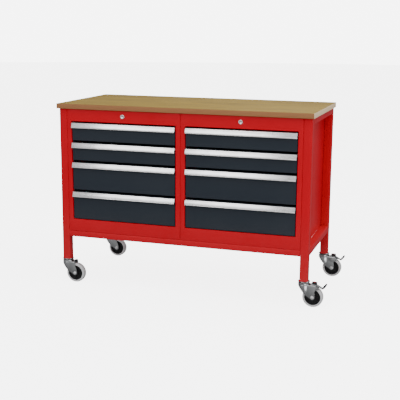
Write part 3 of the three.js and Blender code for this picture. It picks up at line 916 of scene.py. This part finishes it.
def make_handles():
    """A drawn profile: a flange on the front, a short top, and a face that leans out to a
    rolled lip. Two fine grooves run along the face."""
    first_low, first_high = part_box("drawer_left_1_handle")
    back, top = first_high.y - MM, first_high.z - MM
    lip, foot = first_low.y + MM, first_low.z + MM
    out = first_high.y - 8 * MM
    lean = (lip - out) / (foot - top)
    x = first_low.x

    def on_face(share, inset=0.0):
        z = top + (foot - top) * share
        return x, out + (z - top) * lean + inset, z

    points = [(x, back, top - HANDLE_FLANGE), (x, back, top), (x, out + 1.2 * MM, top),
              (x, out, top - 0.6 * MM)]
    for groove in GROOVES:
        points += [on_face(groove - 0.02), on_face(groove, GROOVE_DEPTH), on_face(groove + 0.02)]
    points += [(x, lip + inwards, foot + height) for inwards, height in in_mm(HANDLE_LIP)]
    handle = sheet_from("handle", points, (first_high.x - first_low.x, 0, 0))
    apply(handle, "SOLIDIFY", thickness=HANDLE_WALL, offset=0, use_even_offset=True)
    soften(handle, 0.3 * MM, 2, 25)
    smooth(handle)
    for side in SIDES:
        for number in DRAWERS:
            node = f"drawer_{side}_{number}_handle"
            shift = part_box(node)[0] - first_low
            finish(copied(handle, node, shift), f"{node}_profile", ALUMINIUM,
                   f"drawer_{side}_{number}", "handle_aluminium", node)
    discard(handle)


# ---- locks ---------------------------------------------------------------------------------
LOCK_BORE, LOCK_BARREL, LOCK_FLANGE = 7.1 * MM, 8.7 * MM, 2.5 * MM
CORE_LENGTH, CORE_RADIUS = 25 * MM, 6.7 * MM
CAM_HALF_WIDTH, CAM_THICK = 5 * MM, 2 * MM


def make_locks():
    """A cylinder lock: a domed ring on the cabinet, and the core that the key turns."""
    for side in SIDES:
        ring_low, ring_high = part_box(f"lock_bezel_{side}")
        plug_low, plug_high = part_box(f"lock_plug_{side}")
        centre = (ring_low + ring_high) / 2
        centre.y = ring_low.y
        radius, depth = (ring_high.x - ring_low.x) / 2, ring_high.y - ring_low.y
        ring = turned("ring", (
            (LOCK_BORE, 0.9 * MM), (LOCK_BORE + 0.4 * MM, 0.3 * MM), (LOCK_BORE + 1.1 * MM, 0),
            (radius - 1.8 * MM, 0), (radius - 0.8 * MM, 0.3 * MM), (radius - 0.2 * MM, 1.0 * MM),
            (radius, 1.9 * MM), (radius, LOCK_FLANGE), (LOCK_BARREL, LOCK_FLANGE),
            (LOCK_BARREL, depth), (LOCK_BORE, depth), (LOCK_BORE, 0.9 * MM)), centre, Y_AXIS, 64)
        smooth(ring)
        finish(ring, f"lock_{side}_ring", CHROME, "frame", "lock_chrome", f"lock_bezel_{side}")
        face = plug_low.y - ring_low.y
        core = turned("core", (
            (0, face + 0.5 * MM), (3.6 * MM, face + 0.5 * MM), (4.2 * MM, face + 0.1 * MM),
            (6.1 * MM, face), (CORE_RADIUS, face + 0.5 * MM), (CORE_RADIUS, CORE_LENGTH),
            (0, CORE_LENGTH)), centre, Y_AXIS, 48)
        slot = block("slot", centre + Vector((-0.7 * MM, -MM, -3.4 * MM)),
                     centre + Vector((0.7 * MM, 5 * MM, 3.4 * MM)))
        carve(core, slot)
        warding = block("warding", centre + Vector((-1.5 * MM, -MM, -0.6 * MM)),
                        centre + Vector((0, 5 * MM, 0.6 * MM)))
        carve(core, warding)
        cam = block("cam", (centre.x - CAM_HALF_WIDTH, plug_high.y - CAM_THICK, plug_low.z),
                    (centre.x + CAM_HALF_WIDTH, plug_high.y, centre.z + 6 * MM))
        soften(cam, 0.5 * MM)
        core = joined("core", [core, cam])
        smooth(core)
        finish(core, f"lock_{side}_core", CHROME, f"lock_{side}", "lock_chrome",
               f"lock_plug_{side}")


# ---- castors: made round a swivel axis at x = y = 0, with the floor at z = 0 -----------------
# Their profiles and side views are in millimetres.
HUB_VIEW, PIVOT_VIEW = (45, 50), (40, 114)  # the axle and the pedal's pin in a side view
HUB = Vector((HUB_VIEW[0] * MM, 0, HUB_VIEW[1] * MM))
PIVOT = Vector((PIVOT_VIEW[0] * MM, 0, PIVOT_VIEW[1] * MM))


def make_castor_head():
    """The fixed head: the disc under the leg, the ball race with its dust lip, and the rivet."""
    head = turned("head", in_mm((
        (0, 102.7), (7, 102.7), (9.2, 103.4), (10, 105), (10, 105.7), (6.5, 105.7), (6.5, 118),
        (20, 118), (22.2, 118.6), (23.2, 120), (24, 121.3), (27.6, 121.6), (28.7, 122.2),
        (29, 123.2), (28.6, 124.3), (27.8, 124.7), (6, 124.7), (6, 140), (5.2, 141), (0, 141))),
        (0, 0, 0), Z_AXIS, 64)
    return smooth(head)


def make_ball_cup():
    """The upper cup of the fork, rolled round the balls."""
    cup = turned("cup", in_mm((
        (6.8, 106), (22, 106), (25.6, 106.8), (27.6, 109), (28, 112), (27.8, 115), (26.8, 116.4),
        (25.6, 116.4), (24.8, 115), (24.6, 112), (22.6, 110.4), (6.8, 110.4), (6.8, 106))),
        (0, 0, 0), Z_AXIS, 64)
    return smooth(cup)


def arc(centre, radius, start, end, steps):
    """Points on part of a circle, as pairs, with angles in degrees."""
    angles = [math.radians(start + (end - start) * step / steps) for step in range(steps + 1)]
    return [(centre[0] + radius * math.cos(angle), centre[1] + radius * math.sin(angle))
            for angle in angles]


FORK_HALF, FORK_NOSE, FORK_TOP, FORK_DROP = 22, 28, 109.5, 76
FORK_REACH = {False: 58, True: 82}  # by whether the castor is braked
FORK_SHEET = 2.6 * MM
LEADING_EDGE = [(-29, 111), (-28.4, 107), (-25, 103), (10, 62), (18, 55)]
REAR_EDGE = {
    False: [(54, 72), (46.5, 89), (43.5, 111)],
    True: [(55.6, 72), (55.6, 80), (62, 88), (78, 91.5), (80, 92.6), (79, 94.4), (61, 107),
           (58, 111)],
}


def make_fork(braked):
    """A pressed housing, U-shaped in plan, that closes round the swivel in front and straddles
    the wheel behind. Its side view is cut to a slanted leading edge and a round boss."""
    reach = FORK_REACH[braked]
    meet = math.degrees(math.asin(FORK_HALF / FORK_NOSE))
    nose = arc((0, 0), FORK_NOSE, -meet, -360 + meet, 20)
    plan = [(reach, -FORK_HALF), *nose, (reach, FORK_HALF)]
    shell = sheet_from("fork", [(x * MM, y * MM, FORK_TOP * MM) for x, y in plan],
                       (0, 0, -FORK_DROP * MM), closed=True)
    edit(shell)
    pick(facing(X_AXIS))
    bpy.ops.mesh.delete(type="FACE")
    pick(facing(-Z_AXIS))
    bpy.ops.mesh.delete(type="FACE")
    bpy.ops.mesh.select_mode(type="EDGE")
    round_edges(3 * MM, 4, lambda place, course: (
        near(place.z, FORK_TOP * MM) and place.x < (reach - 1) * MM))
    leave()
    thicken(shell, FORK_SHEET)
    side_view = LEADING_EDGE + arc(HUB_VIEW, 11.8, 212, 372, 16) + REAR_EDGE[braked]
    carve(shell, plate_from("blank", side_view, -40, 80), "INTERSECT")
    bore = turned("bore", in_mm(((0, 100), (9, 100), (9, 120), (0, 120))), (0, 0, 0), Z_AXIS, 32)
    carve(shell, bore)
    soften(shell, 0.5 * MM, 2, 50)
    rings = [make_boss_ring(turn) for turn in (-1, 1)]
    parts = [shell, make_ball_cup(), *rings]
    if braked:
        parts += make_pedal_ears()
    fork = joined("fork", parts)
    return smooth(fork, 30)


def make_boss_ring(turn):
    """The pressed ring round the axle hole in one cheek."""
    profile = in_mm(((4.6, 21.6), (4.6, 22.4), (8.6, 22.4), (9.3, 22.1), (9.7, 21.6)))
    return turned("ring", profile if turn > 0 else opposite(profile), HUB, Y_AXIS, 40)


def make_pedal_ears():
    """Two ears on the crown, and the pin through them that the pedal turns on."""
    parts = []
    outline = [(35.4, 108), *arc(PIVOT_VIEW, 4.6, 180, 0, 10), (45.6, 108)]
    for y in (-11.8, 9.3):
        ear = plate_from("ear", outline, y, 2.5)
        soften(ear, 0.4 * MM)
        parts.append(ear)
    pin = turned("pin", in_mm((
        (0, -12.6), (2.4, -12.6), (2.8, -12.2), (2.8, -11.8), (2, -11.8), (2, 11.8), (2.8, 11.8),
        (2.8, 12.2), (2.4, 12.6), (0, 12.6))), PIVOT, Y_AXIS, 24)
    return [*parts, pin]


def opposite(profile):
    """A profile mirrored to the other side of the middle, from its far end back."""
    return [(radius, -height) for radius, height in reversed(profile)]


def make_axle():
    """The bolt through both cheeks: a shank with domed ends, and a washer and a hexagon on each
    side."""
    tip = [(4, 26), (3.8, 26.6), (3, 27.5), (1.6, 28.1), (0, 28.3)]
    parts = [turned("shank", in_mm(opposite(tip) + tip), HUB, Y_AXIS, 32)]
    washer = ((4, 22.45), (8, 22.45), (8, 23.6), (4, 23.6))
    for turn in (-1, 1):
        profile = washer if turn > 0 else opposite(washer)
        parts.append(turned("washer", in_mm(profile), HUB, Y_AXIS, 40))
        corners = [(HUB.x + x * MM, HUB.y + turn * 23.6 * MM, HUB.z + z * MM)
                   for x, z in arc((0, 0), 7.4, 30, 330, 5)]
        nut = sheet_from("nut", corners, (0, turn * 3 * MM, 0), closed=True)
        edit(nut, "EDGE")
        round_edges(0.7 * MM, 2, lambda place, course: (
            abs(course.y) < 0.1 and abs(place.y) > 25 * MM))
        leave()
        parts.append(nut)
    axle = joined("axle", parts)
    return smooth(axle, 25)


CENTRE_RIBS = 8
TREAD_START, TREAD_BAND = 46, 3.5  # radii in millimetres over which the tyre starts to scuff


def make_wheel_centre():
    """The moulded centre: a rim, a thin dished web with eight ribs on each face, and a boss."""
    half = [(4.4, 18.4), (9, 18.4), (10.4, 17.6), (11, 12), (12.4, 6.6), (14, 5), (30, 5),
            (32, 6.6), (33.4, 12), (34, 13.4), (38, 13.4), (38.5, 12.9)]
    below = [(radius, -height) for radius, height in half]
    profile = [*below, *reversed(half), below[0]]
    parts = [turned("centre", in_mm(profile), HUB, Y_AXIS, 64)]
    for number in range(CENTRE_RIBS):
        rib = block("rib", (10 * MM, -11 * MM, -0.9 * MM), (33.6 * MM, 11 * MM, 0.9 * MM))
        soften(rib, 0.5 * MM)
        turn = Matrix.Rotation(number * 2 * math.pi / CENTRE_RIBS, 4, "Y")
        rib.data.transform(Matrix.Translation(HUB) @ turn)
        parts.append(rib)
    centre = joined("centre", parts)
    return smooth(centre)


def make_tyre():
    """A rubber tyre with a crowned tread and a moulding line on each wall."""
    wall = [(38.8, 15.2), (39.6, 15.9), (43.2, 16), (43.6, 15.6), (44.2, 15.6), (44.6, 16),
            (45.4, 15.8)]
    half = wall + arc((41.6, 7.8), 8.2, 68, 12, 7) + [(49.85, 5), (50, 1.4)]
    profile = half + opposite(half) + [half[0]]
    tyre = turned("tyre", in_mm(profile), HUB, Y_AXIS, 96)
    smooth(tyre)
    tread = tyre.data.attributes.new("tread", "FLOAT", "POINT")
    for number, corner in enumerate(tyre.data.vertices):
        radius = math.hypot(corner.co.x - HUB.x, corner.co.z - HUB.z) / MM
        tread.data[number].value = max(0.0, min(1.0, (radius - TREAD_START) / TREAD_BAND))
    return tyre


def make_lever():
    """The pressed lever that carries the brake shoe and the foot plate."""
    outline = [(40, 118.3), *arc(PIVOT_VIEW, 4.3, 100, 262, 10), (48, 110.2), (56, 103), (64, 103),
               (68, 101.4), (87, 92), (92.4, 91.4), (96.5, 95), (93.5, 97.6), (89.2, 96.6),
               (67, 109), (61, 113)]
    lever = plate_from("lever", outline, -8.6, 17.2)
    soften(lever, 0.7 * MM, 3, 50)
    return smooth(lever)


def make_pedal_plate():
    """The ribbed foot plate at the end of the lever."""
    outline = [(90, 99.6), (93.6, 93.4), (99.4, 96.2), (108.8, 108), (110.9, 111.6), (110.7, 115.6),
               (108, 118), (104.6, 117.6), (98.4, 110.4)]
    plate = plate_from("plate", outline, -9, 18)
    soften(plate, 0.9 * MM, 3, 50)
    parts = [plate]
    for number in range(4):
        x, z = 96.6 + 2.6 * number, 103.2 + 3.25 * number
        rib = block("rib", ((x - 0.7) * MM, -7 * MM, (z - 0.7) * MM),
                    ((x + 0.7) * MM, 7 * MM, (z + 0.7) * MM))
        soften(rib, 0.4 * MM)
        parts.append(rib)
    plate = joined("plate", parts)
    return smooth(plate)


def make_release_cap(low_x, high_x, low_z, high_z):
    """A rounded cap on the castor's crown, between two distances behind its swivel and two
    heights, in millimetres."""
    cap = block("cap", (low_x * MM, -8.8 * MM, low_z * MM), (high_x * MM, 8.8 * MM, high_z * MM))
    edit(cap, "EDGE")
    round_edges(3.2 * MM, 5, lambda place, course: place.z > (high_z - 1) * MM)
    leave()
    soften(cap, 0.6 * MM)
    return smooth(cap)


def make_castors():
    head, axle, centre, tyre = make_castor_head(), make_axle(), make_wheel_centre(), make_tyre()
    forks = {False: make_fork(False), True: make_fork(True)}
    lever, plate = make_lever(), make_pedal_plate()
    cap = make_release_cap(38.5, 63, 111.5, 123)
    spot = turned("spot", in_mm(((0, 1.8), (4, 1.6), (5.2, 0.9), (5.6, 0), (0, 0))),
                  (51 * MM, 0, 122.9 * MM), Z_AXIS, 32)
    smooth(spot)
    blind_cap = make_release_cap(37, 51, 109, 118)
    for end in ENDS:
        for side in SIDES:
            where = f"{end}_{side}"
            low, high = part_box(f"castor_mount_{where}")
            place = (low + high) / 2
            place.z = 0
            castor, wheel, brake = f"castor_{where}", f"wheel_{where}", f"brake_{where}"
            braked = brake in frame["bodies"]

            def fit(piece, name, material, body, slot, *nodes):
                finish(copied(piece, name, place), name, material, body, slot, *nodes)

            fit(head, f"{castor}_head", ZINC, "frame", "zinc_plate", f"castor_mount_{where}")
            fit(forks[braked], f"{castor}_fork", ZINC, castor, "zinc_plate",
                f"castor_fork_{where}")
            fit(axle, f"{castor}_axle", BRIGHT_ZINC, castor, "zinc_plate", f"castor_axle_{where}")
            fit(centre, f"{wheel}_centre", BLACK_PLASTIC, wheel, "wheel_plastic",
                f"wheel_centre_{where}")
            fit(tyre, f"{wheel}_tyre", TYRE_RUBBER, wheel, "tyre_grey", f"tyre_{where}")
            if braked:
                fit(lever, f"{brake}_lever", ZINC, brake, "pedal_steel", f"brake_pedal_{where}")
                fit(plate, f"{brake}_plate", BLACK_PLASTIC, brake, "wheel_plastic")
                fit(cap, f"{brake}_cap", BLACK_PLASTIC, brake, "wheel_plastic")
                fit(spot, f"{brake}_spot", RED_PLASTIC, brake, "red_paint")
            else:
                fit(blind_cap, f"{castor}_cap", BLACK_PLASTIC, castor, "wheel_plastic")
    discard(head, axle, centre, tyre, *forks.values(), lever, plate, cap, spot, blind_cap)


# ---- the whole -----------------------------------------------------------------------------
def make_studio():
    """A white floor inside a white dome. Neither shows in the bench's gloss or shades it."""
    bpy.ops.object.select_all(action="DESELECT")
    bpy.ops.mesh.primitive_circle_add(vertices=64, radius=STUDIO_RADIUS, fill_type="NGON",
                                      location=(0, 0, 0))
    floor = bpy.context.object
    bpy.ops.mesh.primitive_uv_sphere_add(segments=64, ring_count=32, radius=STUDIO_RADIUS,
                                         location=(0, 0, 0))
    dome = bpy.context.object
    for name, sheet in (("floor", floor), ("dome", dome)):
        sheet.name = name
        sheet.data.materials.append(studio_paper(STUDIO_GLOW[name]))
        sheet.visible_diffuse = sheet.visible_glossy = sheet.visible_shadow = False


add_camera()
for softbox in LIGHTS:
    add_light(*softbox)
add_surroundings()
make_studio()
make_worktop()
make_legs()
make_side_rails()
make_lower_rails()
drawers_made = {}
for cabinet_side in SIDES:
    make_cabinet(cabinet_side)
    make_runner_rack(cabinet_side)
    for drawer_number in DRAWERS:
        make_drawer(cabinet_side, drawer_number, drawers_made)
for tray_made, rollers_made, _ in drawers_made.values():
    discard(tray_made, rollers_made)
make_handles()
make_locks()
make_castors()
